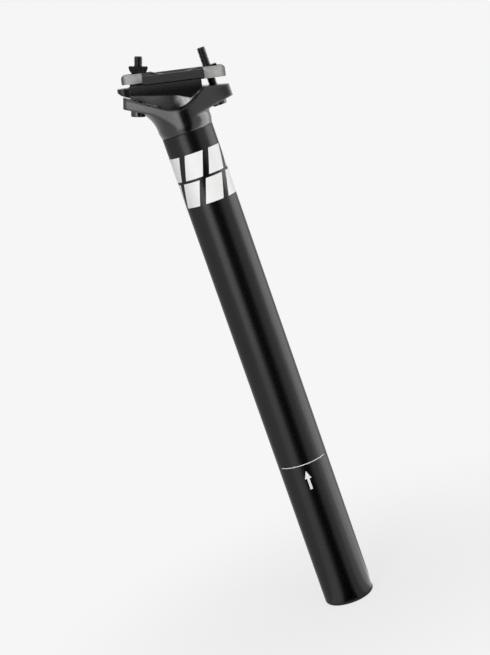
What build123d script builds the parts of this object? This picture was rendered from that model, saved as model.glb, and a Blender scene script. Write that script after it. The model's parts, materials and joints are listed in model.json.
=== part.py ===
from build123d import *
import os
from math import acos, asin, atan2, cos, hypot, radians, sin, tan

# Two-bolt micro-adjust bicycle seatpost: a straight tube, a forged head bonded into it and a rail clamp.
# The origin is the centre of the tube's lower end, +Z runs up the tube and +X to the front of the saddle.
# Clamp points are given as (u, w): u forward along the saddle rails, w square to them, from the tilt axis.

# Tube
post_diameter = 30.9
tube_length = 304.2
tube_wall = 2.3
tube_lower_round = 1.8
seam_bevel = 0.25

# Spigot that bonds the head into the tube
spigot_length = 36.0
spigot_bond_gap = 0.05
spigot_bore = 19.0
neck_bore_height = 5.0

# Neck, tilt axis and the trough that the cradle rocks in
neck_swell = 0.8
neck_swell_height = 3.5
axis_above_seam = 31.0
axis_forward = 0.6
trough_radius = 16.6
rear_flank_deg = 33.4
front_flank_deg = 31.0
front_crest_x = 17.5
front_top_drop_deg = 14.3

# Arms of the head
arm_end_margin = 8.75
arm_end_half_width = 7.5
arm_corner_round = 3.0
rear_underside_deg = 30.0
front_underside_deg = 9.0
rear_flare_radius = 20.0
front_flare_radius = 3.0

# Rail clamp at rest, nose down from square to the tube, and the tilt it has from there
clamp_pitch_deg = 12.0
tilt_nose_up_deg = 1.5
tilt_nose_down_deg = 8.0
rail_diameter = 7.0
rail_spacing = 44.0
clamp_split_gap = 0.5
clamp_half_width = 27.3

# Lower cradle: rocker, rail wings with a band along the outside, and the rear tongue
rocker_gap = 0.2
rocker_rear_u = 13.5
rocker_front_u = 14.5
skirt_gap = 1.0
wing_side_gap = 0.5
wing_rear_u = 24.3
wing_front_u = 17.2
band_height = 5.0
band_draft_deg = 5.0
band_rear_height = 5.15
band_break_u = 3.5
band_break_height = 8.0
band_tip_u = 10.2
band_tip_height = 10.2
tongue_rear_u = 31.5
tongue_drop = 1.5
tongue_nose = 2.0
tongue_bevel = 2.1
tongue_half_width = 8.0
tongue_end_round = 4.0

# Upper clamp
lip_rear_u = 16.2
lip_front_u = 19.3
lip_height = 4.9
lip_shoulder = 1.5
lip_end_bevel = 0.8
lip_inner_width = 2.6
bridge_height = 3.4
waist_dish = 2.2
ear_half_width = 8.2
ear_end_round = 5.0
ear_top_round = 2.4
ear_bevel_height = 2.0
ear_bevel_width = 1.0
ear_inner_wall = 1.6
rear_ear_u = 28.5
rear_ear_top = 6.2
rear_ear_bottom = 0.7
front_ear_u = 32.3
front_ear_top = 5.4
front_ear_bottom = -1.3

# Bolts: the nut's centre in clamp coordinates, the lean from the tube and the seat's depth in the arm
bolt_diameter = 5.0
bolt_length = 30.0
bolt_head_diameter = 8.5
bolt_head_height = 5.0
bolt_point = 0.5
hex_key = 4.0
hex_depth = 2.6
rear_nut_u = -17.6
rear_nut_w = 10.3
rear_bolt_lean_deg = 19.6
rear_seat_depth = 3.95
rear_head_recess = 2.0
front_nut_u = 22.0
front_nut_w = 5.7
front_bolt_lean_deg = 0.0
front_seat_depth = 7.2
front_head_recess = 3.0
bolt_hole_gap = 0.85
slot_gap = 0.35

# Domed washers and half-moon nuts
washer_dome_radius = 8.0
washer_height = 1.9
washer_contact_radius = 3.5
washer_bore_gap = 0.15
washer_seat_gap = 0.2
head_pocket_gap = 0.7
nut_radius = 5.6
nut_length = 12.0
nut_edge_break = 0.4
nut_seat_gap = 0.3
nut_end_gap = 0.3
thread_gap = 0.06

# Worked out from the sizes above
post_radius = post_diameter / 2
neck_radius = post_radius + neck_swell
axis_height = tube_length + axis_above_seam
pitch = radians(clamp_pitch_deg)
rail_groove_radius = rail_diameter / 2
bolt_radius = bolt_diameter / 2
wing_inner_y = neck_radius + wing_side_gap
far = 4 * post_diameter

along_rails = (cos(pitch), 0, -sin(pitch))
square_to_rails = (sin(pitch), 0, cos(pitch))
SIDE = Plane(origin=(0, 0, 0), x_dir=(1, 0, 0), z_dir=(0, -1, 0))
CLAMP_SIDE = Plane(origin=(axis_forward, 0, axis_height), x_dir=along_rails, z_dir=(0, -1, 0))
CLAMP_TOP = Plane(origin=(axis_forward, 0, axis_height), x_dir=along_rails, z_dir=square_to_rails)
RAIL_SECTION = Plane(origin=(axis_forward, 0, axis_height), x_dir=(0, 1, 0), z_dir=along_rails)


def clamp_to_part(u, w):
    """Side-view place (x, z) of a clamp point."""
    return (axis_forward + u * cos(pitch) + w * sin(pitch), axis_height - u * sin(pitch) + w * cos(pitch))


def part_to_clamp(x, z):
    """Clamp coordinates (u, w) of a side-view place."""
    run, rise = x - axis_forward, z - axis_height
    return (run * cos(pitch) - rise * sin(pitch), run * sin(pitch) + rise * cos(pitch))


def outline(*points):
    """Flat face inside straight lines through the points."""
    return make_face(Polyline(*points, close=True))


def on_plane(plane, face):
    """The flat face, laid on a plane."""
    return plane.location * face


def both_ways(face, reach):
    """Solid of a flat face, extruded to both sides of its plane."""
    return extrude(face, amount=reach, both=True)


def cross_pin(plane, x, y, radius, half_length):
    """Round bar across the post, square to a side plane, at a point of it."""
    return both_ways(on_plane(plane, Pos(x, y) * Circle(radius)), half_length)


def rounded_end(face, end_x, radius):
    """The flat face with the corners at one end rounded."""
    return fillet([v for v in face.vertices() if abs(v.X - end_x) < 1e-6], radius)


def trough_tangent(flank_deg, radius, side):
    """Where a trough of this radius runs out into its straight flank, in the side view."""
    turn = radians(flank_deg)
    return (axis_forward + side * radius * sin(turn), axis_height - radius * cos(turn))


rear_tangent = trough_tangent(rear_flank_deg, trough_radius, -1)
front_tangent = trough_tangent(front_flank_deg, trough_radius, 1)
front_crest_z = front_tangent[1] + (front_crest_x - front_tangent[0]) * tan(radians(front_flank_deg))
front_crest = (front_crest_x, front_crest_z)


class BoltLine:
    """A bolt's axis: the nut's centre, the bearing face of the head and the middle of its domed seat."""

    def __init__(self, nut_u, nut_w, lean_deg, arm_top, arm_drop_deg, seat_depth):
        lean = radians(lean_deg)
        drop = tan(radians(arm_drop_deg))
        self.along = (sin(lean), cos(lean))
        self.nut = clamp_to_part(nut_u, nut_w)
        above_arm = self.nut[1] - arm_top[1] + drop * (self.nut[0] - arm_top[0])
        self.grip = seat_depth + above_arm / (self.along[1] + drop * self.along[0])
        self.bearing = self.at(-self.grip)
        self.pivot = self.at(-self.grip - washer_dome_radius + washer_height)
        self.frame = Plane(
            origin=(self.bearing[0], 0, self.bearing[1]),
            x_dir=(cos(lean), 0, -sin(lean)),
            z_dir=(sin(lean), 0, cos(lean)),
        )

    def at(self, distance):
        """Place on the axis, measured upward from the nut's centre."""
        return (self.nut[0] + distance * self.along[0], self.nut[1] + distance * self.along[1])

    def lean_rate(self):
        """Turn of the bolt about its domed seat for each unit of clamp tilt."""
        arm = (self.nut[0] - axis_forward, self.nut[1] - axis_height)
        sideways = arm[1] * self.along[1] + arm[0] * self.along[0]
        return sideways / hypot(self.nut[0] - self.pivot[0], self.nut[1] - self.pivot[1])

    def placed(self, shape):
        """A shape drawn on the bolt's axis with its bearing face at zero, put in place."""
        return self.frame.location * shape


rear_line = BoltLine(
    rear_nut_u, rear_nut_w, rear_bolt_lean_deg, rear_tangent, rear_flank_deg, rear_seat_depth
)
front_line = BoltLine(
    front_nut_u, front_nut_w, front_bolt_lean_deg, front_crest, front_top_drop_deg, front_seat_depth
)


def turned(*points):
    """Solid of revolution about Z from an outline of (radius, height) points."""
    return revolve(on_plane(SIDE, outline(*points)), Axis.Z)


def rising(radius, start, end):
    """Plain round bar on Z between two heights."""
    return Pos(0, 0, start) * Cylinder(radius, end - start, align=(Align.CENTER, Align.CENTER, Align.MIN))


def make_tube():
    """Straight drawn tube, rounded at its lower end."""
    bore_radius = post_radius - tube_wall
    tube = rising(post_radius, 0, tube_length) - rising(bore_radius, -1, tube_length + 1)
    lower = tube.edges().filter_by(GeomType.CIRCLE).group_by(Axis.Z)[0].sort_by(SortBy.RADIUS)
    tube = fillet(lower[-1], min(tube_lower_round, 0.9 * tube_wall))
    upper = tube.edges().filter_by(GeomType.CIRCLE).group_by(Axis.Z)[-1].sort_by(SortBy.RADIUS)
    return chamfer(upper[-1], seam_bevel)


def trough_void():
    """Everything above the head's upper faces: the round trough, its flanks and the front arm's top."""
    rear_out = (-far, rear_tangent[1] + (rear_tangent[0] + far) * tan(radians(rear_flank_deg)))
    front_out = (far, front_crest[1] - (far - front_crest_x) * tan(radians(front_top_drop_deg)))
    lowest = (axis_forward, axis_height - trough_radius)
    top = axis_height + far
    edges = [
        Line(rear_out, rear_tangent),
        ThreePointArc(rear_tangent, lowest, front_tangent),
        Line(front_tangent, front_crest),
        Line(front_crest, front_out),
        Polyline(front_out, (far, top), (-far, top), rear_out),
    ]
    return both_ways(on_plane(SIDE, make_face(edges)), far)


def arm_footprint(side, reach):
    """Plan of one arm: flanks that leave the neck on a tangent and close in to the end."""
    corner = (reach, arm_end_half_width)
    tangent_turn = atan2(corner[1], corner[0]) + acos(neck_radius / hypot(*corner))
    tangent = (neck_radius * cos(tangent_turn), neck_radius * sin(tangent_turn))
    half = [(0, tangent[1]), tangent, corner]
    points = half + [(x, -y) for x, y in reversed(half)]
    return outline(*[(side * x, y) for x, y in points])


def make_arm(line, side, underside_deg, flare_radius, recess):
    """One arm of the head: an underside that rises outward, flared into the neck about the tube."""
    slope = radians(underside_deg)
    below = line.at(-line.grip - recess)
    through = side * below[0]
    neck_z = below[1] - through * tan(slope)
    outer_z = neck_z + far * tan(slope)
    top = axis_height + post_diameter
    wedge = outline((0, neck_z), (side * far, outer_z), (side * far, outer_z + top), (0, outer_z + top))
    body = both_ways(on_plane(SIDE, wedge), far)

    centre_r = neck_radius + flare_radius
    centre_z = below[1] - (flare_radius - (centre_r - through) * sin(slope)) / cos(slope)
    run_out = (centre_r - flare_radius * sin(slope), centre_z + flare_radius * cos(slope))
    middle = radians(180 + 90 + underside_deg) / 2
    between = (centre_r + flare_radius * cos(middle), centre_z + flare_radius * sin(middle))
    flare_edges = [
        Polyline((0, top), (0, centre_z), (neck_radius, centre_z)),
        ThreePointArc((neck_radius, centre_z), between, run_out),
        Polyline(run_out, (run_out[0], top), (0, top)),
    ]
    flare = revolve(on_plane(SIDE, make_face(flare_edges)), Axis.Z)

    plan = arm_footprint(side, through + arm_end_margin)
    prism = extrude(Pos(0, 0, tube_length) * plan, amount=top - tube_length)
    inside_end = line.placed(Pos(side * (arm_end_margin - far / 2), 0, 0) * Box(far, 2 * far, 2 * far))
    arm = (body + flare) & prism & inside_end
    upright = [e for e in arm.edges() if abs((e % 0.5).Y) < 0.5]
    from_bolt = [abs(line.frame.to_local_coords(e @ 0.5).X) for e in upright]
    corners = [e for e, reach in zip(upright, from_bolt) if abs(reach - arm_end_margin) < 1e-6]
    return fillet(corners, arm_corner_round)


def bolt_passage(line):
    """Room in an arm for the bolt: conical seat, pocket for the head and a hole with space to lean."""
    slope = asin(washer_contact_radius / washer_dome_radius)
    dome = washer_dome_radius + washer_seat_gap
    peak = washer_height - washer_dome_radius + dome / cos(slope)
    pocket = bolt_head_diameter / 2 + head_pocket_gap
    seat = turned((0, -far), (pocket, -far), (pocket, peak - pocket * tan(slope)), (0, peak))
    return line.placed(seat + rising(bolt_radius + bolt_hole_gap, -far, far))


def make_head():
    """Forged head: neck, spigot, front and rear arms, trough and bolt passages."""
    neck = turned(
        (0, tube_length),
        (post_radius, tube_length),
        (neck_radius, tube_length + neck_swell_height),
        (neck_radius, axis_height),
        (0, axis_height),
    )
    rear = make_arm(rear_line, -1, rear_underside_deg, rear_flare_radius, rear_head_recess)
    front = make_arm(front_line, 1, front_underside_deg, front_flare_radius, front_head_recess)
    head = neck + rear + front - trough_void()
    head = head - bolt_passage(rear_line) - bolt_passage(front_line)

    spigot_end = tube_length - spigot_length
    spigot = rising(post_radius - tube_wall - spigot_bond_gap, spigot_end, tube_length + seam_bevel)
    bore = rising(spigot_bore / 2, spigot_end - 1, tube_length + neck_bore_height)
    return head + spigot - bore


def bolt_slot(line, level):
    """Long hole through the clamp down to a level, wide enough for the bolt at every tilt."""
    nut_u, nut_w = part_to_clamp(*line.nut)
    lean = atan2(line.along[0], line.along[1]) - pitch
    tilts = [radians(-tilt_nose_up_deg), 0, radians(tilt_nose_down_deg)]
    leans = [lean - tilt * (1 - line.lean_rate()) for tilt in tilts]
    reaches = [nut_u - (nut_w - level) * tan(turn) for turn in leans] + [nut_u]
    width = bolt_radius + slot_gap
    start, end = min(reaches), max(reaches)
    slot = Pos((start + end) / 2, 0) * SlotOverall(end - start + 2 * width, 2 * width)
    return both_ways(on_plane(CLAMP_TOP, slot), far)


def rail_grooves():
    """Both saddle rails, as round bars through the clamp."""
    bars = [
        both_ways(on_plane(RAIL_SECTION, Pos(side * rail_spacing / 2, 0) * Circle(rail_groove_radius)), far)
        for side in (-1, 1)
    ]
    return bars[0] + bars[1]


def drafted_band():
    """Room that the wings keep to: widest on the forging's parting line, drawn in above and below it."""
    draft = tan(radians(band_draft_deg))
    depth = 2 * trough_radius
    half = [
        (clamp_half_width - draft * band_height, 0),
        (clamp_half_width, -band_height),
        (clamp_half_width - draft * (depth - band_height), -depth),
    ]
    section = outline(*half, *[(-y, w) for y, w in reversed(half)])
    return both_ways(on_plane(RAIL_SECTION, section), far)


def make_wings(rear, lowest, front, rear_slope, front_slope):
    """Rail wing on each side of the head: an outer band, drawn in to the trough's own curve by the neck."""
    split = -clamp_split_gap / 2
    rear_top, front_top = (-wing_rear_u, split), (wing_front_u, split)
    front_low = (wing_front_u, front[1] + (wing_front_u - front[0]) * tan(front_slope))
    rear_low = (-wing_rear_u, rear[1] + (rear[0] + wing_rear_u) * tan(rear_slope))
    inner = [
        Line(rear_low, rear_top),
        Line(rear_top, front_top),
        Line(front_top, front_low),
        Line(front_low, front),
        ThreePointArc(front, lowest, rear),
        Line(rear, rear_low),
    ]
    band_tip = (band_tip_u, -band_tip_height)
    band_break = (band_break_u, -band_break_height)
    band_rear = (-wing_rear_u, -band_rear_height)
    outer = [
        Line(band_rear, rear_top),
        Line(rear_top, front_top),
        Line(front_top, front_low),
        Line(front_low, band_tip),
        Line(band_tip, band_break),
        Line(band_break, band_rear),
    ]
    inside = on_plane(CLAMP_SIDE.offset(wing_inner_y), make_face(inner))
    outside = on_plane(CLAMP_SIDE.offset(clamp_half_width), make_face(outer))
    wing = loft([inside, outside], ruled=True)
    return (wing + mirror(wing, about=Plane.XZ)) & drafted_band()


def make_tongue(rear, rear_slope):
    """Tongue along the middle of the rear arm, rounded at its end."""
    bevel_u = tongue_bevel - tongue_rear_u
    side_view = outline(
        (rear[0], -tongue_drop),
        (-tongue_rear_u, -tongue_drop),
        (-tongue_rear_u, -tongue_drop - tongue_nose),
        (bevel_u, rear[1] + (rear[0] - bevel_u) * tan(rear_slope)),
        rear,
    )
    plan = Pos(-tongue_rear_u / 2, 0) * Rectangle(tongue_rear_u, 2 * tongue_half_width)
    plan = rounded_end(plan, -tongue_rear_u, tongue_end_round)
    return both_ways(on_plane(CLAMP_SIDE, side_view), far) & both_ways(on_plane(CLAMP_TOP, plan), far)


def make_lower_cradle():
    """Rocker that fits the trough, with a rail wing on each side of the head and a tongue to the rear."""
    skirt = trough_radius - skirt_gap
    rear = part_to_clamp(*trough_tangent(rear_flank_deg, skirt, -1))
    front = part_to_clamp(*trough_tangent(front_flank_deg, skirt, 1))
    lowest = part_to_clamp(axis_forward, axis_height - skirt)
    rear_slope = radians(rear_flank_deg) - pitch
    front_slope = radians(front_flank_deg) + pitch
    wings = make_wings(rear, lowest, front, rear_slope, front_slope)

    split = -clamp_split_gap / 2
    rocker = cross_pin(CLAMP_SIDE, 0, 0, trough_radius - rocker_gap, wing_inner_y)
    span = outline(
        (-rocker_rear_u, split),
        (rocker_front_u, split),
        (rocker_front_u, -2 * trough_radius),
        (-rocker_rear_u, -2 * trough_radius),
    )
    rocker = rocker & both_ways(on_plane(CLAMP_SIDE, span), wing_inner_y)
    tongue = make_tongue(rear, rear_slope)
    return rocker + wings + tongue - bolt_slot(rear_line, rear[1]) - rail_grooves()


def make_ear(line, side, reach, top, bottom):
    """Lug for a half-moon nut, the room that the nut and the bolt take in it, and its inner upper corner."""
    nut_u, nut_w = part_to_clamp(*line.nut)
    seat = nut_radius + nut_seat_gap
    inner = side * nut_u - (seat**2 - min(nut_w - top, seat / 2) ** 2) ** 0.5 - ear_inner_wall
    middle, length = side * (inner + reach) / 2, reach - inner
    plan = rounded_end(Pos(middle, 0) * Rectangle(length, 2 * ear_half_width), side * reach, ear_end_round)
    side_view = Pos(middle, (top + bottom) / 2) * Rectangle(length, top - bottom)
    upper_end = side_view.vertices().group_by(Axis.Y)[-1].sort_by(Axis.X)[-1 if side > 0 else 0]
    side_view = fillet(upper_end, ear_top_round)
    half = [
        (ear_half_width, bottom),
        (ear_half_width, top - ear_bevel_height),
        (ear_half_width - ear_bevel_width, top),
    ]
    section = outline(*half, *[(-y, w) for y, w in reversed(half)])
    lug = both_ways(on_plane(CLAMP_TOP, plan), far) & both_ways(on_plane(CLAMP_SIDE, side_view), far)
    lug = lug & both_ways(on_plane(RAIL_SECTION, section), far)
    pocket = cross_pin(CLAMP_SIDE, nut_u, nut_w, seat, nut_length / 2 + nut_end_gap)
    return lug, pocket + bolt_slot(line, bottom), (side * inner, top)


def make_waist(rear, front, bottom):
    """Web along the middle of the top plate, dished from ear to ear."""
    dish_u, dish_w = (rear[0] + front[0]) / 2, (rear[1] + front[1]) / 2 - waist_dish
    rear_low, front_low = (rear[0], bottom), (front[0], bottom)
    side_view = [
        ThreePointArc(rear, (dish_u, dish_w), front),
        Line(front, front_low),
        Line(front_low, rear_low),
        Line(rear_low, rear),
    ]
    return both_ways(on_plane(CLAMP_SIDE, make_face(side_view)), ear_half_width - ear_bevel_width)


def make_upper_clamp():
    """Top plate with a lip over each rail and an ear at each end for a nut."""
    split = clamp_split_gap / 2
    lip_inner_y = rail_spacing / 2 - lip_inner_width
    draft = tan(radians(band_draft_deg))
    lip_low_y = clamp_half_width - draft * band_height
    lip_high_y = lip_low_y - draft * (lip_height - lip_shoulder)
    half = [
        (lip_low_y, split),
        (lip_high_y, lip_height - lip_shoulder),
        (lip_high_y - lip_shoulder, lip_height),
        (lip_inner_y, lip_height),
        (lip_inner_y - 2 * (lip_height - bridge_height), bridge_height),
    ]
    section = outline(*half, *[(-y, w) for y, w in reversed(half)])
    ends = outline(
        (-lip_rear_u, 0),
        (lip_front_u, 0),
        (lip_front_u, lip_height - lip_end_bevel),
        (lip_front_u - lip_end_bevel, lip_height),
        (lip_end_bevel - lip_rear_u, lip_height),
        (-lip_rear_u, lip_height - lip_end_bevel),
    )
    plate = both_ways(on_plane(RAIL_SECTION, section), far) & both_ways(on_plane(CLAMP_SIDE, ends), far)
    rear_lug, rear_room, rear_corner = make_ear(rear_line, -1, rear_ear_u, rear_ear_top, rear_ear_bottom)
    front_lug, front_room, front_corner = make_ear(
        front_line, 1, front_ear_u, front_ear_top, front_ear_bottom
    )
    clamp = plate + rear_lug + front_lug + make_waist(rear_corner, front_corner, split)
    return clamp - rear_room - front_room - rail_grooves()


def make_bolt(line):
    """Socket-head bolt, head down, with a plain shank where the thread is."""
    head_radius = bolt_head_diameter / 2
    bolt = turned(
        (0, -bolt_head_height),
        (head_radius, -bolt_head_height),
        (head_radius, 0),
        (bolt_radius, 0),
        (bolt_radius, bolt_length - bolt_point),
        (bolt_radius - bolt_point, bolt_length),
        (0, bolt_length),
    )
    socket = RegularPolygon(hex_key / 2, 6, major_radius=False)
    bolt = bolt - extrude(Pos(0, 0, -bolt_head_height) * socket, amount=hex_depth)
    return line.placed(bolt)


def make_washer(line):
    """Washer under the bolt's head, domed towards the arm."""
    dome = Pos(0, 0, washer_height - washer_dome_radius) * Sphere(washer_dome_radius)
    washer = dome & rising(bolt_head_diameter / 2, 0, washer_height)
    return line.placed(washer - rising(bolt_radius + washer_bore_gap, -1, washer_height + 1))


def make_nut(line):
    """Half-moon nut: round below, flat on top, bored across for the bolt."""
    moon = Circle(nut_radius) & Pos(0, -nut_radius) * Rectangle(4 * nut_radius, 2 * nut_radius)
    bar = extrude(Plane.XZ * moon, amount=nut_length / 2, both=True)
    bar = chamfer(bar.edges().filter_by(Axis.Y), nut_edge_break)
    nut = Pos(0, 0, line.grip) * bar
    return line.placed(nut - rising(bolt_radius + thread_gap, -far, far))


nodes = {
    "tube": make_tube(),
    "head": make_head(),
    "lower_cradle": make_lower_cradle(),
    "upper_clamp": make_upper_clamp(),
    "rear_bolt": make_bolt(rear_line),
    "front_bolt": make_bolt(front_line),
    "rear_washer": make_washer(rear_line),
    "front_washer": make_washer(front_line),
    "rear_nut": make_nut(rear_line),
    "front_nut": make_nut(front_line),
}

os.makedirs("parts", exist_ok=True)
for name, solid in nodes.items():
    export_step(solid, f"parts/{name}.step")
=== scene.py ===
"""Finishes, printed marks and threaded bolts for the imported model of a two-bolt bicycle seatpost."""

import json
import math

import bmesh
import bpy
from bpy.props import FloatProperty, FloatVectorProperty, IntProperty, PointerProperty
from mathutils import Matrix, Vector


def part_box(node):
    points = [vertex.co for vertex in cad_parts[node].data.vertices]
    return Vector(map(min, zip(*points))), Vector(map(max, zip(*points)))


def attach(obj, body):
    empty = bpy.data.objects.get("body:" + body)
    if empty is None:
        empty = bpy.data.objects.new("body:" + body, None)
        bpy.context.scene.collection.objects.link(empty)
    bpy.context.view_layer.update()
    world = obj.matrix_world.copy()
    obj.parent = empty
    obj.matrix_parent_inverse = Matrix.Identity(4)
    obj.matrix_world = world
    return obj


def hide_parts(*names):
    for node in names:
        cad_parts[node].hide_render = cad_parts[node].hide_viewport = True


bl_info = {
    "name": "Bicycle Seatpost",
    "version": (1, 0, 0),
    "blender": (4, 5, 0),
    "location": "View3D > Sidebar > Seatpost",
    "description": "Dresses a two-bolt seatpost with its finishes, printed marks, bolts and studio",
    "category": "Object",
}

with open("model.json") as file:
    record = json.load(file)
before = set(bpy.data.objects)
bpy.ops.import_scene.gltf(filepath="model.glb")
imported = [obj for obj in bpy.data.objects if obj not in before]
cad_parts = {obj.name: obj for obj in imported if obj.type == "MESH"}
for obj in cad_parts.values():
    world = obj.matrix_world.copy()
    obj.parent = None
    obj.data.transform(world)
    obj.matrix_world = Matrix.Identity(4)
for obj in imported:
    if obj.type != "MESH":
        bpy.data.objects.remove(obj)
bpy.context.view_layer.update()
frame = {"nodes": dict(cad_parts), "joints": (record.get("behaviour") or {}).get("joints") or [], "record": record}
NODES = frame["nodes"]
JOINTS = {joint["name"]: joint for joint in frame["joints"]}
MOUNTS = {mount["name"]: mount for mount in frame["record"]["mounts"]}

MM = 0.001
TUBE_LOW, TUBE_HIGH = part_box("tube")
TUBE_RADIUS = TUBE_HIGH.x
RAIL = Vector(MOUNTS["left_rail"]["axis"])  # along the saddle's rails, to the front
OVER_RAIL = Vector((-RAIL.z, 0, RAIL.x))  # square to the rails, upward
RAIL_HEIGHT = OVER_RAIL.dot(Vector(MOUNTS["left_rail"]["pos_m"]))
LIP_FROM = 16.3 * MM  # distance from the mid-plane at which the upper clamp's lips begin
FINISH_BLEND = 0.3 * MM  # strip in which one finish of a piece runs into the next
PRINT_ROOT = 0.15 * MM  # how far a film of ink reaches into the tube
PRINT_STRIP = 1.2 * MM  # widest flat strip of a film that goes round the tube
FACE_ORDER = Vector((1, 7, 53))  # weights that give every face of a film a place of its own in a row
SHARP_EDGE = math.radians(40)
THREAD_STEPS = 8  # rings of vertices in one turn of the thread
CARD_TURNS = 16  # strips of faces across a standing card
WAVE = math.tau / 20  # scale at which Blender's wave texture repeats once in a unit


def linear(code):
    """Linear RGB of an sRGB hex colour."""
    channels = [int(code[i : i + 2], 16) / 255 for i in (1, 3, 5)]
    return tuple(c / 12.92 if c <= 0.04045 else ((c + 0.055) / 1.055) ** 2.4 for c in channels)


def rgba(colour, level=1.0):
    """A colour at a share of its own level, with full cover, as a shader socket takes it."""
    return (*(min(1.0, level * c) for c in colour), 1.0)


def fill(tree, node, inputs):
    """Fill sockets of a node, each with a value or a link."""
    for socket, value in inputs.items():
        if isinstance(value, bpy.types.NodeSocket):
            tree.links.new(value, node.inputs[socket])
        else:
            node.inputs[socket].default_value = value


def add_node(tree, kind, inputs, **fields):
    """Add a node, set its own fields and fill its sockets."""
    node = tree.nodes.new(kind)
    for field, value in fields.items():
        setattr(node, field, value)
    fill(tree, node, inputs)
    return node


def per_metre(size_mm):
    """Texture scale at which a pattern repeats about once in a real size."""
    return 1 / (size_mm * MM)


def colour_prop(name, description, code):
    """Colour setting whose default is an sRGB hex value."""
    return FloatVectorProperty(
        name=name, description=description, subtype="COLOR", min=0, max=1, default=linear(code)
    )


def length_prop(name, description, size_mm):
    """Length setting whose default is given in millimetres."""
    return FloatProperty(name=name, description=description, unit="LENGTH", default=size_mm * MM)


def level_prop(name, description, level):
    """Brightness setting, where 1 is white."""
    return FloatProperty(name=name, description=description, default=level, min=0)


def power_prop(name, description, watts):
    """Lamp setting in watts."""
    return FloatProperty(name=name, description=description, unit="POWER", default=watts, min=0)


class SeatpostFinish(bpy.types.PropertyGroup):
    """Colours of the metal and the print, with painted shade on the clamp's tops and a painted highlight on the
    cradle.
    """

    tube: colour_prop("Tube", "Black anodising of the drawn tube", "#313132")
    head: colour_prop("Head", "Black anodising of the forged head", "#454546")
    cradle: colour_prop("Cradle", "Black anodising of the lower cradle", "#313132")
    # Milled: pale raw aluminium of the cradle's lens, which is also a painted highlight
    milled: colour_prop("Milled", "Raw aluminium where the cradle's belly is milled", "#cacac9")
    ears: colour_prop("Ears", "Milled sides of the upper clamp's ears", "#a8a8a7")
    # Ear tops: grey oxide, darkened as painted shade on the tops and ends of the upper clamp
    ear_tops_oxide_and_shade: colour_prop("Ear tops", "Grey oxide on the tops and ends of the upper clamp", "#525251")
    lips: colour_prop("Lips", "Black lips of the upper clamp and sides of its bridge", "#2a2a2b")
    steel: colour_prop("Steel", "Black oxide of the bolts, nuts and washers", "#474748")
    ink: colour_prop("Ink", "White printing ink on the tube", "#e4e4e3")


class SeatpostBolts(bpy.types.PropertyGroup):
    """Sizes of the two bolts."""

    pitch: length_prop("Pitch", "Rise of the thread in one turn", 0.8)
    thread_depth: length_prop("Thread depth", "Depth of the thread from crest to root", 0.45)
    plain_length: length_prop("Plain shank", "Length under the head that has no thread", 6.0)
    point: length_prop("Point", "Bevel at the end of the thread", 0.6)
    head_height: length_prop("Head height", "Height of the round head", 5.0)
    edge_round: length_prop("Edge", "Rounding of the head's edges", 0.5)
    hex_key: length_prop("Hex key", "Width across the flats of the socket", 4.0)
    hex_depth: length_prop("Socket depth", "Depth of the socket in the head", 2.6)
    knurl_depth: length_prop("Knurl depth", "Depth of the ribs round the head", 0.11)
    knurls: IntProperty(name="Knurls", description="Ribs round the head", default=36, min=12, step=6)


class SeatpostMarks(bpy.types.PropertyGroup):
    """Places and sizes of the printed marks."""

    band_low: length_prop("Band from", "Lower edge of the printed band", 261.5)
    band_high: length_prop("Band to", "Upper edge of the printed band", 292.0)
    row_gap: length_prop("Row gap", "Bare strip between the two rows of the band", 1.55)
    block_width: length_prop("Block width", "Width of a block round the tube", 11.2)
    block_gap: length_prop("Block gap", "Bare strip between two blocks", 3.9)
    block_slant: length_prop("Block slant", "How far a block leans over its height", 4.9)
    centre: length_prop("Centre", "Arc from the side's middle to the centre of line and arrow", -0.5)
    line_height: length_prop("Insertion line", "Height of the line above the lower end", 93.5)
    line_width: length_prop("Line width", "Width of the insertion line", 0.45)
    line_reach: length_prop("Line reach", "Length of the insertion line to each side", 16.2)
    arrow_tip: length_prop("Arrow tip", "Height of the arrow's tip", 89.4)
    arrow_foot: length_prop("Arrow foot", "Height of the arrow's foot", 77.5)
    arrow_head: length_prop("Arrow head", "Height of the arrow's head", 4.9)
    arrow_width: length_prop("Arrow width", "Width of the arrow's head", 4.0)
    arrow_shaft: length_prop("Arrow shaft", "Width of the arrow's shaft", 1.5)
    film: length_prop("Ink film", "Height of the print above the tube", 0.03)


class SeatpostStudio(bpy.types.PropertyGroup):
    """Floor, light and camera."""

    background: colour_prop("Background", "Pale floor and backdrop", "#f6f6f6")
    ambient: level_prop("Ambient", "Soft light from all round", 0.35)
    left_power: power_prop("Left lamp", "Power of the left soft box", 6.2)
    right_power: power_prop("Right lamp", "Power of the right soft box", 5.4)
    left_panel: level_prop("Left panel", "Reflected panel on the left, near the post", 1.35)
    left_wall: level_prop("Left wall", "Reflected panel on the left, far from the post", 3.2)
    right_panel: level_prop("Right panel", "Reflected panel on the right", 4.3)
    right_fill: level_prop("Right fill", "Reflected panel low on the right", 1.8)
    ceiling: level_prop("Ceiling", "Reflected card overhead", 1.2)
    lens: FloatProperty(
        name="Lens", description="Focal length", subtype="DISTANCE_CAMERA", default=90.70
    )


def finish_settings():
    """Colours as set in the sidebar."""
    return bpy.context.scene.seatpost_finish


def new_tree(holder):
    """Empty node tree of a new material or world."""
    holder.use_nodes = True
    holder.node_tree.nodes.clear()
    return holder.node_tree


def new_material(name):
    """Material with its shader and output joined, and the object's own coordinates in metres."""
    material = bpy.data.materials.new(name)
    tree = new_tree(material)
    shader = add_node(tree, "ShaderNodeBsdfPrincipled", {})
    add_node(tree, "ShaderNodeOutputMaterial", {"Surface": shader.outputs["BSDF"]})
    place = add_node(tree, "ShaderNodeTexCoord", {}).outputs["Object"]
    return material, tree, shader, place


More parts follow.
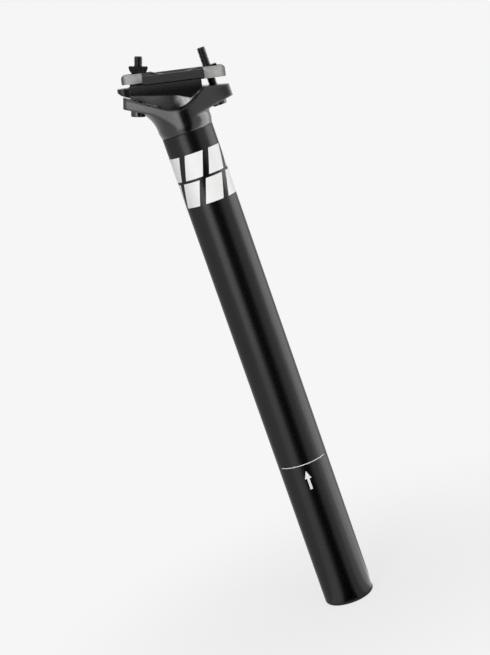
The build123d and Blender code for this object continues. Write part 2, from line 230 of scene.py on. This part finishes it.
def uneven_dye(tree, place, colour, size_mm, drift, stretch=1):
    """Colour that drifts about its own value over a real size, stretched along the tube."""
    scale = per_metre(size_mm)
    drawn = add_node(
        tree, "ShaderNodeMapping", {"Vector": place, "Scale": (scale, scale, scale / stretch)}
    )
    cloud = add_node(
        tree, "ShaderNodeTexNoise", {"Vector": drawn.outputs["Vector"], "Scale": 1.0, "Detail": 4.0}
    )
    mix = add_node(
        tree, "ShaderNodeMix",
        {"Factor": cloud.outputs["Fac"], 6: rgba(colour, 1 - drift), 7: rgba(colour, 1 + drift)},
        data_type="RGBA",
    )
    return mix.outputs[2]


def fine_grain(tree, place, size_mm, depth_mm, gloss, edge_mm):
    """Grain of a real size that breaks up gloss and shading, on edges broken by a small radius."""
    grain = add_node(
        tree, "ShaderNodeTexNoise", {"Vector": place, "Scale": per_metre(size_mm), "Detail": 3.0}
    ).outputs["Fac"]
    roughness = add_node(
        tree, "ShaderNodeMapRange",
        {"Value": grain, "From Min": 0.3, "From Max": 0.7, "To Min": gloss[0], "To Max": gloss[1]},
    )
    edge = add_node(tree, "ShaderNodeBevel", {"Radius": edge_mm * MM}, samples=6)
    bump = add_node(
        tree, "ShaderNodeBump",
        {
            "Strength": 0.3,
            "Distance": depth_mm * MM,
            "Height": grain,
            "Normal": edge.outputs["Normal"],
        },
    )
    return {"Roughness": roughness.outputs["Result"], "Normal": bump.outputs["Normal"]}


def anodised_drawn_tube():
    # Black anodised aluminium tube, drawn and then blasted: a satin skin with broad soft highlights
    # and faint streaks along its length, whose oxide dulls the shine at grazing angles. The blasting
    # is about 0.1 mm, drawn at 0.7 mm so that it shows.
    material, tree, shader, place = new_material("anodised_drawn_tube")
    streaks = {"size_mm": 0.9, "drift": 0.14, "stretch": 45}
    fill(tree, shader, {
        "Base Color": uneven_dye(tree, place, finish_settings().tube, **streaks),
        "Metallic": 1.0,
        "Specular Tint": rgba((0.65, 0.65, 0.65)),
        **fine_grain(tree, place, size_mm=0.7, depth_mm=0.01, gloss=(0.26, 0.33), edge_mm=0.2),
    })
    return material


def anodised_forging():
    # Black anodised aluminium forging, tumbled and blasted: paler than the tube, cloudy over a few
    # millimetres where the die left its skin. The blasting is about 0.15 mm, drawn at 0.8 mm to show.
    # The die leaves the sides of both arms a little hollow, so a reflection shades off along them.
    material, tree, shader, place = new_material("anodised_forged_head")
    skin = fine_grain(tree, place, size_mm=0.8, depth_mm=0.02, gloss=(0.20, 0.28), edge_mm=2.6)
    # distance from hollow to hollow, of the crest between them from the tube's axis, and their depth
    apart_mm, crest_mm, deep_mm = 50.0, 3.0, 1.6
    hollow = add_node(
        tree, "ShaderNodeTexWave",
        {
            "Vector": place,
            "Scale": WAVE * per_metre(apart_mm),
            "Phase Offset": math.pi - math.tau * crest_mm / apart_mm,
        },
    ).outputs["Fac"]
    sides = add_node(
        tree, "ShaderNodeBump",
        {"Strength": 1.0, "Distance": deep_mm * MM, "Height": hollow, "Normal": skin["Normal"]},
    )
    fill(tree, shader, {
        "Base Color": uneven_dye(tree, place, finish_settings().head, size_mm=7.0, drift=0.16),
        "Metallic": 1.0,
        "Roughness": skin["Roughness"],
        "Normal": sides.outputs["Normal"],
    })
    return material


def milled_lens_and_highlight(tree, ahead, belly):
    """One on the cradle's milled lens, a painted highlight too, from a soft rear edge to the tip in front."""
    black_to, bare_from, bare_to, black_from = -2.2 * MM, 4.6 * MM, 7.0 * MM, 11.0 * MM
    rear_edge = add_node(
        tree, "ShaderNodeMapRange", {"Value": ahead, "From Min": black_to, "From Max": bare_from},
        interpolation_type="SMOOTHSTEP",
    ).outputs["Result"]
    tip = add_node(
        tree, "ShaderNodeMapRange", {"Value": ahead, "From Min": black_from, "From Max": bare_to}
    ).outputs["Result"]
    lens = add_node(
        tree, "ShaderNodeMath", {0: rear_edge, 1: tip}, operation="MULTIPLY"
    ).outputs["Value"]
    return add_node(
        tree, "ShaderNodeMath", {0: lens, 1: belly}, operation="MULTIPLY"
    ).outputs["Value"]


def crowned(tree, skin, across, middle, reach, fall, share=1.0):
    """Shading of a face that falls away to each side of its middle, on a share of the piece."""
    off_middle = add_node(
        tree, "ShaderNodeMapRange",
        {"Value": across, "From Min": middle - reach, "From Max": middle + reach, "To Min": -1.0},
    ).outputs["Result"]
    square = add_node(
        tree, "ShaderNodeMath", {0: off_middle, 1: off_middle}, operation="MULTIPLY"
    ).outputs["Value"]
    drop = add_node(
        tree, "ShaderNodeMath", {0: square, 1: share}, operation="MULTIPLY"
    ).outputs["Value"]
    crown = add_node(
        tree, "ShaderNodeBump", {"Strength": 1.0, "Distance": fall, "Height": drop, "Normal": skin},
        invert=True,
    )
    return crown.outputs["Normal"]


def anodised_cradle():
    # The same forging, with the belly of each wing milled to raw aluminium towards the front: black satin
    # that runs into a bright lens, which is also a painted highlight that fades in from a soft rear edge.
    # The cutter's lines are about 0.3 mm apart, drawn at 2.5 mm to show. The band under the rails is a
    # little crowned and the belly is turned, so reflections shade off along them.
    material, tree, shader, place = new_material("anodised_cradle_milled_and_highlight")
    finish = finish_settings()
    facing = add_node(tree, "ShaderNodeTexCoord", {}).outputs["Normal"]
    ahead = add_node(tree, "ShaderNodeSeparateXYZ", {"Vector": place}).outputs["X"]
    upward = add_node(tree, "ShaderNodeSeparateXYZ", {"Vector": facing}).outputs["Z"]
    over = add_node(
        tree, "ShaderNodeVectorMath", {0: place, 1: OVER_RAIL}, operation="DOT_PRODUCT"
    ).outputs["Value"]
    belly = add_node(
        tree, "ShaderNodeMapRange", {"Value": upward, "From Min": -0.45, "From Max": -0.6}
    ).outputs["Result"]
    # Painted highlight, read as milled raw metal: a pale lens on the downward faces at the front of the belly
    bare_and_highlight = milled_lens_and_highlight(tree, ahead, belly)
    cutter = add_node(
        tree, "ShaderNodeTexWave",
        {"Vector": place, "Scale": WAVE * per_metre(2.5), "Distortion": 0.4},
    ).outputs["Fac"]
    # Pale metal of the lens, a painted highlight as well as milled aluminium, with the cutter's lines
    metal = add_node(
        tree, "ShaderNodeMix",
        {"Factor": cutter, 6: rgba(finish.milled, 0.86), 7: rgba(finish.milled)},
        data_type="RGBA",
    ).outputs[2]
    black = uneven_dye(tree, place, finish.cradle, size_mm=7.0, drift=0.16)
    tone = add_node(tree, "ShaderNodeMix", {"Factor": bare_and_highlight, 6: black, 7: metal}, data_type="RGBA")
    skin = fine_grain(tree, place, size_mm=0.8, depth_mm=0.02, gloss=(0.26, 0.34), edge_mm=1.0)
    matt = add_node(tree, "ShaderNodeMix", {"Factor": bare_and_highlight, "A": skin["Roughness"], "B": 0.62})
    band = crowned(
        tree, skin["Normal"], over, middle=RAIL_HEIGHT - 3.0 * MM, reach=4.0 * MM, fall=0.34 * MM
    )
    wings = crowned(
        tree, band, ahead, middle=-3.0 * MM, reach=20.0 * MM, fall=4.0 * MM, share=belly
    )
    fill(tree, shader, {
        "Base Color": tone.outputs[2],
        "Metallic": 1.0,
        "Roughness": matt.outputs["Result"],
        "Normal": wings,
    })
    return material


def dyed_black(tree, place, side):
    """One on the black of the upper clamp: its lips, and the bridge's sides as far as they reach."""
    across = add_node(tree, "ShaderNodeSeparateXYZ", {"Vector": place}).outputs["Y"]
    away = add_node(tree, "ShaderNodeMath", {0: across}, operation="ABSOLUTE").outputs["Value"]
    lip = add_node(
        tree, "ShaderNodeMapRange",
        {"Value": away, "From Min": LIP_FROM - FINISH_BLEND, "From Max": LIP_FROM},
    ).outputs["Result"]
    reaches = [RAIL.dot(v.co) for v in NODES["upper_clamp"].data.vertices if abs(v.co.y) > LIP_FROM]
    middle, half = (max(reaches) + min(reaches)) / 2, (max(reaches) - min(reaches)) / 2
    along = add_node(
        tree, "ShaderNodeVectorMath", {0: place, 1: RAIL}, operation="DOT_PRODUCT"
    ).outputs["Value"]
    ahead = add_node(
        tree, "ShaderNodeMath", {0: along, 1: middle}, operation="SUBTRACT"
    ).outputs["Value"]
    off_middle = add_node(tree, "ShaderNodeMath", {0: ahead}, operation="ABSOLUTE").outputs["Value"]
    between = add_node(
        tree, "ShaderNodeMapRange",
        {"Value": off_middle, "From Min": half + FINISH_BLEND, "From Max": half},
    ).outputs["Result"]
    bridge = add_node(
        tree, "ShaderNodeMath", {0: between, 1: side}, operation="MULTIPLY"
    ).outputs["Value"]
    return add_node(
        tree, "ShaderNodeMath", {0: lip, 1: bridge}, operation="MAXIMUM"
    ).outputs["Value"]


def blasted_clamp():
    # Aluminium upper clamp, bead-blasted and hard anodised, with the sides of its ears milled
    # afterwards: nearly matt and pale on the sides of the ears. The tops and ends are greyer: grey oxide,
    # darkened further as painted shade by which way a face turns. The lips over the rails and the sides of
    # the bridge between them are dyed black. The beads leave dimples of about 0.2 mm, drawn at 0.8 mm so that they
    # show.
    material, tree, shader, place = new_material("blasted_and_anodised_clamp")
    finish = finish_settings()
    # The colour follows which way a face turns: pale where it faces sideways, darker elsewhere as painted shade
    facing = add_node(tree, "ShaderNodeTexCoord", {}).outputs["Normal"]
    sideways = add_node(tree, "ShaderNodeSeparateXYZ", {"Vector": facing}).outputs["Y"]
    square = add_node(tree, "ShaderNodeMath", {0: sideways}, operation="ABSOLUTE").outputs["Value"]
    side = add_node(
        tree, "ShaderNodeMapRange", {"Value": square, "From Min": 0.6, "From Max": 0.92}
    ).outputs["Result"]
    milled = uneven_dye(tree, place, finish.ears, size_mm=3.0, drift=0.3)
    # Tops and ends: grey oxide darkened as painted shade, where the sides of the ears stay pale
    oxide = uneven_dye(tree, place, finish.ear_tops_oxide_and_shade, size_mm=3.0, drift=0.3)
    grey = add_node(
        tree, "ShaderNodeMix", {"Factor": side, 6: oxide, 7: milled}, data_type="RGBA"
    ).outputs[2]
    tone = add_node(
        tree, "ShaderNodeMix",
        {"Factor": dyed_black(tree, place, side), 6: grey, 7: rgba(finish.lips)},
        data_type="RGBA",
    ).outputs[2]
    fill(tree, shader, {
        "Base Color": tone,
        "Specular IOR Level": 0.15,
        **fine_grain(tree, place, size_mm=0.8, depth_mm=0.025, gloss=(0.42, 0.52), edge_mm=0.35),
    })
    return material


def black_oxide_steel():
    # Turned and rolled steel, blackened in hot oxide and oiled: near black with a tight oily shine,
    # mottled over about a millimetre.
    material, tree, shader, place = new_material("black_oxide_steel")
    fill(tree, shader, {
        "Base Color": uneven_dye(tree, place, finish_settings().steel, size_mm=1.2, drift=0.4),
        "Metallic": 1.0,
        **fine_grain(tree, place, size_mm=1.2, depth_mm=0.008, gloss=(0.20, 0.32), edge_mm=0.15),
    })
    return material


def printing_ink():
    # White two-part ink, screen printed over anodising: matt, a little thinner between the threads of
    # the mesh. The mesh is about 0.1 mm, drawn at 0.5 mm so that it shows.
    material, tree, shader, place = new_material("screen_printed_ink")
    fill(tree, shader, {
        "Base Color": uneven_dye(tree, place, finish_settings().ink, size_mm=0.5, drift=0.05),
        **fine_grain(tree, place, size_mm=0.5, depth_mm=0.004, gloss=(0.45, 0.6), edge_mm=0.05),
    })
    return material


def dress(node, material):
    """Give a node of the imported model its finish."""
    slots = NODES[node].data.materials
    slots.clear()
    slots.append(material)


def new_piece(name, bm, material):
    """Object from a finished mesh, smooth but for its sharp edges."""
    bmesh.ops.recalc_face_normals(bm, faces=bm.faces)
    for face in bm.faces:
        face.smooth = True
    mesh = bpy.data.meshes.new(name)
    bm.to_mesh(mesh)
    bm.free()
    mesh.set_sharp_from_angle(angle=SHARP_EDGE)
    mesh.materials.append(material)
    obj = bpy.data.objects.new(name, mesh)
    bpy.context.scene.collection.objects.link(obj)
    return obj


class SEATPOST_OT_tube(bpy.types.Operator):
    """Give the tube its black anodised finish"""

    bl_idname = "seatpost.tube"
    bl_label = "Tube"

    def execute(self, context):
        dress("tube", anodised_drawn_tube())
        return {"FINISHED"}


class SEATPOST_OT_head(bpy.types.Operator):
    """Give the forged head its finish"""

    bl_idname = "seatpost.head"
    bl_label = "Forged head"

    def execute(self, context):
        dress("head", anodised_forging())
        return {"FINISHED"}


class SEATPOST_OT_clamp(bpy.types.Operator):
    """Give the lower cradle and the upper clamp their finishes"""

    bl_idname = "seatpost.clamp"
    bl_label = "Rail clamp"

    def execute(self, context):
        dress("lower_cradle", anodised_cradle())
        dress("upper_clamp", blasted_clamp())
        return {"FINISHED"}


class SEATPOST_OT_nuts(bpy.types.Operator):
    """Give the half-moon nuts and the domed washers their finish"""

    bl_idname = "seatpost.nuts"
    bl_label = "Nuts and washers"

    def execute(self, context):
        oxide = black_oxide_steel()
        for node in ("rear_nut", "front_nut", "rear_washer", "front_washer"):
            dress(node, oxide)
        return {"FINISHED"}


def ring(bm, z, radius_at, count):
    """Loop of vertices round Z, at a radius that may change over the turn."""
    shares = [i / count for i in range(count)]
    turns = [(radius_at(share), 2 * math.pi * share) for share in shares]
    points = [(radius * math.cos(turn), radius * math.sin(turn), z) for radius, turn in turns]
    return [bm.verts.new(point) for point in points]


def skin_rings(bm, rings, first_tip, last_tip):
    """Closed skin over a row of loops, drawn to a point on Z at each end."""
    count = len(rings[0])
    pairs = [(i, (i + 1) % count) for i in range(count)]
    for low, high in zip(rings, rings[1:]):
        for i, j in pairs:
            bm.faces.new((low[i], low[j], high[j], high[i]))
    for loop, height in ((rings[0], first_tip), (rings[-1], last_tip)):
        tip = bm.verts.new((0, 0, height))
        for i, j in pairs:
            bm.faces.new((loop[i], loop[j], tip))


def plain(radius):
    """Radius of a round ring."""
    return lambda share: radius


def hexagon(flats):
    """Radius of a six-sided ring over one turn."""
    side = math.pi / 3
    return lambda share: flats / 2 / math.cos((2 * math.pi * share + side / 2) % side - side / 2)


def threaded(z, shank_radius, length, sizes):
    """Radius of the shank over one turn at a height: a thread that runs in from the plain part."""
    run_in = min(1.0, (z - sizes.plain_length) / sizes.pitch)
    bevel = max(0.0, z - length + sizes.point)
    crest, flank = 0.3, 0.5  # widths of the flat crest and of a flank, as shares of half the pitch

    def radius_at(share):
        off_crest = 2 * abs((z / sizes.pitch - share) % 1.0 - 0.5)
        depth = min(1.0, max(0.0, (off_crest - crest) / flank))
        return shank_radius - max(bevel, depth * run_in * sizes.thread_depth)

    return radius_at


def bolt_mesh(head_radius, shank_radius, length, sizes):
    """Socket-head bolt on Z with its bearing face at zero: knurled head below, thread above."""
    bm = bmesh.new()
    count = 2 * sizes.knurls
    edge, knurl, foot = sizes.edge_round, sizes.knurl_depth, -sizes.head_height
    floor = foot + sizes.hex_depth

    def ribbed(share):
        return head_radius - knurl * (round(share * count) % 2)

    # height and radius of each ring, from the socket's floor, round the head and up the plain shank
    profile = [
        (floor, hexagon(sizes.hex_key)),
        (foot + edge / 2, hexagon(sizes.hex_key)),
        (foot, hexagon(sizes.hex_key + edge)),
        (foot, plain(head_radius - edge)),
        (foot + 0.3 * edge, plain(head_radius - 0.3 * edge)),
        (foot + edge, plain(head_radius - knurl)),
        (foot + 1.4 * edge, ribbed),
        (-edge, ribbed),
        (-0.6 * edge, plain(head_radius - knurl)),
        (0, plain(head_radius - 0.4 * edge)),
        (0, plain(shank_radius + edge / 2)),
        (edge / 2, plain(shank_radius)),
    ]
    step = sizes.pitch / THREAD_STEPS
    rows = int((length - sizes.plain_length) / step)
    for row in range(rows):
        z = sizes.plain_length + row * step
        profile.append((z, threaded(z, shank_radius, length, sizes)))
    profile.append((length, plain(shank_radius - sizes.point)))
    rings = [ring(bm, z, radius_at, count) for z, radius_at in profile]
    skin_rings(bm, rings, floor + edge, length)
    return bm


class SEATPOST_OT_bolts(bpy.types.Operator):
    """Build both bolts with knurled socket heads and rolled threads"""

    bl_idname = "seatpost.bolts"
    bl_label = "Threaded bolts"

    def execute(self, context):
        sizes = context.scene.seatpost_bolts
        oxide = black_oxide_steel()
        for end in ("rear", "front"):
            node, joint = f"{end}_bolt", JOINTS[f"{end}_turn"]
            pivot, axis = Vector(joint["pos_m"]), Vector(joint["axis"]).normalized()
            turn = axis.to_track_quat("Z", "Y").to_matrix().to_4x4()
            into = (Matrix.Translation(pivot) @ turn).inverted()
            points = [into @ v.co for v in NODES[node].data.vertices]
            foot, tip = min(p.z for p in points), max(p.z for p in points)
            bearing = foot + sizes.head_height
            head_radius = max(math.hypot(p.x, p.y) for p in points)
            shank_radius = max(math.hypot(p.x, p.y) for p in points if p.z > bearing + MM)
            bm = bolt_mesh(head_radius, shank_radius, tip - bearing, sizes)
            bm.transform(Matrix.Translation(pivot) @ turn @ Matrix.Translation((0, 0, bearing)))
            piece = new_piece(f"{end}_threaded_bolt", bm, oxide)
            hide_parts(node)
            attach(piece, f"{end}_screw")
        return {"FINISHED"}


def on_tube(arc, height, radius):
    """Point round the tube, at an arc length from the middle of the camera's side."""
    turn = arc / TUBE_RADIUS
    return (radius * math.sin(turn), -radius * math.cos(turn), height)


def printed_mark(name, outlines, film, ink):
    """Thin closed film of ink round the tube, from flat outlines of (arc length, height) points."""
    bm = bmesh.new()
    for outline in outlines:
        bm.faces.new([bm.verts.new((arc, height, 0)) for arc, height in outline])
    strips = math.ceil(max(abs(v.co.x) for v in bm.verts) / PRINT_STRIP)
    for strip in range(1 - strips, strips):
        everything = [*bm.verts, *bm.edges, *bm.faces]
        cut = (strip * PRINT_STRIP, 0, 0)
        bmesh.ops.bisect_plane(bm, geom=everything, plane_co=cut, plane_no=(1, 0, 0))
    raised = bmesh.ops.extrude_face_region(bm, geom=bm.faces[:], use_keep_orig=True)["geom"]
    upper = {v for v in raised if isinstance(v, bmesh.types.BMVert)}
    for v in bm.verts:
        radius = TUBE_RADIUS + film if v in upper else TUBE_RADIUS - PRINT_ROOT
        v.co = on_tube(v.co.x, v.co.y, radius)
    # the sides come out of the extrusion in a chance order, so the faces are put in a fixed one
    bm.faces.sort(key=lambda face: face.calc_center_median().dot(FACE_ORDER))
    piece = new_piece(name, bm, ink)
    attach(piece, "post")


def band_outlines(marks):
    """Two rows of slanted blocks, the upper row half a block further round."""
    middle, gap = (marks.band_low + marks.band_high) / 2, marks.row_gap
    rows = ((marks.band_low, middle - gap / 2), (middle + gap / 2, marks.band_high))
    width, slant = marks.block_width, marks.block_slant
    spacing = width + marks.block_gap
    outlines = []
    for index, (low, high) in enumerate(rows):
        for block in range(-2, 2):
            left = (block + index / 2 - 0.25) * spacing
            right = left + width
            lower, upper = [(left, low), (right, low)], [(right + slant, high), (left + slant, high)]
            outlines.append(lower + upper)
    return outlines


def line_outline(marks):
    """Insertion line round the camera's side of the tube."""
    low, high = marks.line_height - marks.line_width / 2, marks.line_height + marks.line_width / 2
    left, right = marks.centre - marks.line_reach, marks.centre + marks.line_reach
    return [(left, low), (right, low), (right, high), (left, high)]


def arrow_outline(marks):
    """Upright arrow under the insertion line."""
    half = [
        (marks.arrow_shaft / 2, marks.arrow_foot),
        (marks.arrow_shaft / 2, marks.arrow_tip - marks.arrow_head),
        (marks.arrow_width / 2, marks.arrow_tip - marks.arrow_head),
    ]
    whole = [*half, (0, marks.arrow_tip), *[(-arc, height) for arc, height in reversed(half)]]
    return [(marks.centre + arc, height) for arc, height in whole]


class SEATPOST_OT_marks(bpy.types.Operator):
    """Print the band of slanted blocks, the insertion line and its arrow"""

    bl_idname = "seatpost.marks"
    bl_label = "Printed marks"

    def execute(self, context):
        marks = context.scene.seatpost_marks
        ink = printing_ink()
        printed_mark("printed_band", band_outlines(marks), marks.film, ink)
        printed_mark("printed_insertion_line", [line_outline(marks)], marks.film, ink)
        printed_mark("printed_arrow", [arrow_outline(marks)], marks.film, ink)
        return {"FINISHED"}


def seen_or_reflected(tree):
    """One for what is seen directly or in metal and glass, and nought for the light on the post."""
    path = add_node(tree, "ShaderNodeLightPath", {}).outputs
    seen = add_node(
        tree, "ShaderNodeMath", {0: path["Is Camera Ray"], 1: path["Is Glossy Ray"]},
        operation="MAXIMUM",
    ).outputs["Value"]
    return add_node(
        tree, "ShaderNodeMath", {0: seen, 1: path["Is Transmission Ray"]}, operation="MAXIMUM"
    ).outputs["Value"]


def paper_sweep(background):
    # Matt pale paper sweep: keeps the soft shadow under the post, and runs out into a plain backdrop.
    material = bpy.data.materials.new("paper_sweep")
    tree = new_tree(material)
    shadow_to, plain_from, plain_share = 0.02, 0.25, 0.8
    place = add_node(tree, "ShaderNodeTexCoord", {}).outputs["Object"]
    away = add_node(tree, "ShaderNodeVectorMath", {0: place}, operation="LENGTH").outputs["Value"]
    run_out = add_node(
        tree, "ShaderNodeMapRange",
        {"Value": away, "From Min": shadow_to, "From Max": plain_from, "To Min": plain_share},
        interpolation_type="SMOOTHSTEP",
    ).outputs["Result"]
    share = add_node(
        tree, "ShaderNodeMath", {0: run_out, 1: seen_or_reflected(tree)}, operation="MULTIPLY"
    )
    paper = add_node(tree, "ShaderNodeBsdfDiffuse", {"Color": rgba(background)})
    backdrop = add_node(tree, "ShaderNodeEmission", {"Color": rgba(background), "Strength": 1.0})
    mix = add_node(
        tree, "ShaderNodeMixShader",
        {0: share.outputs["Value"], 1: paper.outputs["BSDF"], 2: backdrop.outputs["Emission"]},
    )
    add_node(tree, "ShaderNodeOutputMaterial", {"Surface": mix.outputs["Shader"]})
    return material


def card_material(name, near, far):
    # Studio card that shows a soft level in a reflection: black velvet at zero, a lit panel above.
    material = bpy.data.materials.new(name)
    tree = new_tree(material)
    near_to, far_from = 0.6, 1.3
    place = add_node(tree, "ShaderNodeTexCoord", {}).outputs["Object"]
    away = add_node(tree, "ShaderNodeVectorMath", {0: place}, operation="LENGTH").outputs["Value"]
    level = add_node(
        tree, "ShaderNodeMapRange",
        {"Value": away, "From Min": near_to, "From Max": far_from, "To Min": near, "To Max": far},
    ).outputs["Result"]
    glow = add_node(tree, "ShaderNodeEmission", {"Color": rgba((1, 1, 1)), "Strength": level})
    add_node(tree, "ShaderNodeOutputMaterial", {"Surface": glow.outputs["Emission"]})
    return material


def studio_world(background, ambient):
    """Backdrop seen directly and in reflections, with a softer level as the light from all round."""
    world = bpy.data.worlds.new("studio")
    tree = new_tree(world)
    light = add_node(tree, "ShaderNodeBackground", {"Color": rgba((1, 1, 1)), "Strength": ambient})
    backdrop = add_node(tree, "ShaderNodeBackground", {"Color": rgba(background), "Strength": 1.0})
    mix = add_node(
        tree, "ShaderNodeMixShader",
        {
            0: seen_or_reflected(tree),
            1: light.outputs["Background"],
            2: backdrop.outputs["Background"],
        },
    )
    add_node(tree, "ShaderNodeOutputWorld", {"Surface": mix.outputs["Shader"]})
    bpy.context.scene.world = world


def soft_box(name, azimuth_deg, width, power):
    """Upright soft box that faces the post, at an angle from the camera's side."""
    distance, height, tall = 1.0, 0.35, 1.3
    lamp = bpy.data.lights.new(name, "AREA")
    lamp.shape = "RECTANGLE"
    lamp.size, lamp.size_y, lamp.energy = width, tall, power
    obj = bpy.data.objects.new(name, lamp)
    turn = math.radians(azimuth_deg)
    obj.location = (distance * math.sin(turn), -distance * math.cos(turn), height)
    facing = Vector((-obj.location.x, -obj.location.y, 0))
    obj.rotation_euler = facing.to_track_quat("-Z", "Y").to_euler()
    obj.visible_camera = obj.visible_glossy = False
    bpy.context.scene.collection.objects.link(obj)


def reflected_card(name, bm, near_level, far_level):
    """Card that only reflections see."""
    card = new_piece(name, bm, card_material(name, near_level, far_level))
    card.visible_camera = card.visible_diffuse = card.visible_shadow = False
    card.visible_transmission = card.visible_volume_scatter = False
    return card


def ceiling_card(level):
    """Round card overhead."""
    height = 1.5
    bm = bmesh.new()
    bmesh.ops.create_circle(bm, cap_ends=True, segments=48, radius=1.1)
    card = reflected_card("ceiling_card", bm, level, level)
    card.location.z = height
    return card


def standing_card(name, near_deg, far_deg, top, near_level, far_level):
    """Card along the floor and up to a height, its sides at angles from the camera, near and far."""
    bm = bmesh.new()
    # distance from the post and height of each row of vertices
    lying = [(away, 0.001) for away in (0.018, 0.1, 0.3, 0.6, 1.1)]
    rising = [(1.28, 0.08), (1.36, 0.2), (1.4, top)]
    rows = []
    for away, height in lying + rising:
        share = min(1.0, away / lying[-1][0])
        sides = zip(near_deg, far_deg)
        left, right = (math.radians(near + (far - near) * share) for near, far in sides)
        turns = [left + (right - left) * i / CARD_TURNS for i in range(CARD_TURNS + 1)]
        points = [(away * math.sin(t), -away * math.cos(t), height) for t in turns]
        rows.append([bm.verts.new(point) for point in points])
    for low, high in zip(rows, rows[1:]):
        for i in range(CARD_TURNS):
            bm.faces.new((low[i], low[i + 1], high[i + 1], high[i]))
    return reflected_card(name, bm, near_level, far_level)


def paper_floor(background):
    """Round pale floor, a hair under the post."""
    hair = 0.2 * MM
    bm = bmesh.new()
    bmesh.ops.create_circle(bm, cap_ends=True, segments=96, radius=3.0)
    floor = new_piece("floor", bm, paper_sweep(background))
    floor.location.z = TUBE_LOW.z - hair
    return floor


def camera_at_photo(lens):
    """Camera at the photograph's viewing angle."""
    yaw, pitch, roll = (math.radians(angle) for angle in (-0.372, -11.04, -19.39))
    stand = (0, -0.9734, 0.3718)
    out = math.cos(pitch)
    forward = Vector((math.sin(yaw) * out, math.cos(yaw) * out, math.sin(pitch)))
    level = Vector((math.cos(yaw), -math.sin(yaw), 0))
    upward = level.cross(forward)
    right = math.cos(roll) * level + math.sin(roll) * upward
    top = math.cos(roll) * upward - math.sin(roll) * level
    data = bpy.data.cameras.new("camera")
    data.lens = lens
    data.clip_start, data.clip_end = 0.05, 50
    obj = bpy.data.objects.new("camera", data)
    turn = Matrix((right, top, -forward)).transposed().to_4x4()
    obj.matrix_world = Matrix.Translation(stand) @ turn
    bpy.context.scene.collection.objects.link(obj)
    bpy.context.scene.camera = obj


class SEATPOST_OT_stage(bpy.types.Operator):
    """Set up the floor, the light, the backdrop and the camera"""

    bl_idname = "seatpost.stage"
    bl_label = "Studio"

    def execute(self, context):
        studio = context.scene.seatpost_studio
        context.scene.view_settings.view_transform = "Standard"
        studio_world(studio.background, studio.ambient)
        soft_box("left_soft_box", azimuth_deg=-24, width=0.5, power=studio.left_power)
        soft_box("right_soft_box", azimuth_deg=30, width=0.8, power=studio.right_power)
        paper_floor(studio.background)
        ceiling_card(studio.ceiling)
        standing_card("black_card", (-23, 20), (-14, 34), 0.55, 0, 0)
        standing_card(
                "left_panel", (-66, -32), (-46, -17), 1.2, studio.left_panel, studio.left_wall
            )
        standing_card(
                "right_panel", (78, 130), (84, 132), 1.2, studio.right_panel, studio.right_panel
            )
        standing_card(
                "right_fill", (46, 78), (80, 84), 0.3, studio.right_fill, studio.right_fill
            )
        camera_at_photo(studio.lens)
        return {"FINISHED"}


OPERATORS = (
    SEATPOST_OT_tube,
    SEATPOST_OT_head,
    SEATPOST_OT_clamp,
    SEATPOST_OT_nuts,
    SEATPOST_OT_bolts,
    SEATPOST_OT_marks,
    SEATPOST_OT_stage,
)
GROUPS = {
    "seatpost_finish": SeatpostFinish,
    "seatpost_bolts": SeatpostBolts,
    "seatpost_marks": SeatpostMarks,
    "seatpost_studio": SeatpostStudio,
}


class SEATPOST_PT_sidebar(bpy.types.Panel):
    """Steps that dress the seatpost, in order"""

    bl_idname = "SEATPOST_PT_sidebar"
    bl_label = "Seatpost"
    bl_space_type = "VIEW_3D"
    bl_region_type = "UI"
    bl_category = "Seatpost"

    def draw(self, context):
        for name, group in GROUPS.items():
            box = self.layout.box()
            for field in group.__annotations__:
                box.prop(getattr(context.scene, name), field)
        for operator in OPERATORS:
            self.layout.operator(operator.bl_idname)


CLASSES = (*GROUPS.values(), *OPERATORS, SEATPOST_PT_sidebar)


def register():
    for cls in CLASSES:
        bpy.utils.register_class(cls)
    for name, group in GROUPS.items():
        setattr(bpy.types.Scene, name, PointerProperty(type=group))


def unregister():
    for name in GROUPS:
        delattr(bpy.types.Scene, name)
    for cls in reversed(CLASSES):
        bpy.utils.unregister_class(cls)


def main():
    register()
    bpy.ops.seatpost.tube()
    bpy.ops.seatpost.head()
    bpy.ops.seatpost.clamp()
    bpy.ops.seatpost.nuts()
    bpy.ops.seatpost.bolts()
    bpy.ops.seatpost.marks()
    bpy.ops.seatpost.stage()


if __name__ == "__main__":
    main()
